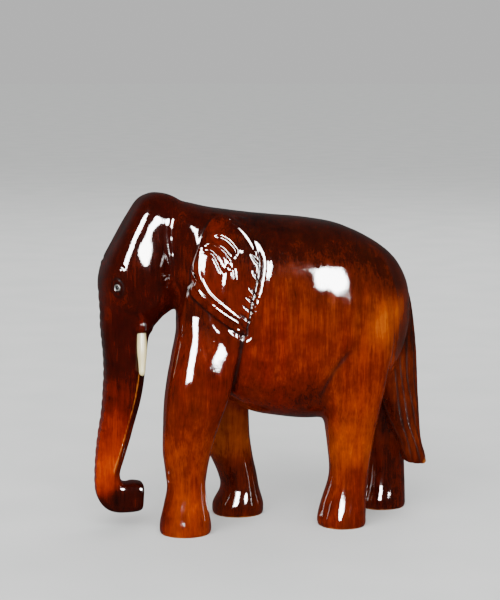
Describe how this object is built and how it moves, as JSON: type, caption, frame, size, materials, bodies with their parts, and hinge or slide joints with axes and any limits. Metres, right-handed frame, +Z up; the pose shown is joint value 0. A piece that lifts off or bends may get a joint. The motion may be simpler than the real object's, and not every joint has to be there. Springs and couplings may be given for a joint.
{
  "type": "carved wooden elephant figurine",
  "caption": "Walking elephant statuette carved from one block of hardwood, lacquered, with inlaid eyes and glued-in tusks.",
  "frame": {"origin": "on the surface it stands on, under the middle of the whole figure's box", "axes": "+Z up; the elephant faces -X and its left side faces -Y"},
  "size_m": [0.205, 0.086, 0.2],
  "materials": {
    "lacquered_rosewood": "thick glossy clear lacquer over red-brown stained hardwood",
    "tusk_ivory_white": "polished cream",
    "eye_ring_grey": "grey, under the lacquer",
    "pupil_black": "glossy black"
  },
  "bodies": {
    "root": {"body": "lacquered_rosewood", "tusk_left": "tusk_ivory_white", "tusk_right": "tusk_ivory_white", "eye_ring_left": "eye_ring_grey", "eye_ring_right": "eye_ring_grey", "pupil_left": "pupil_black", "pupil_right": "pupil_black"}
  },
  "joints": []
}
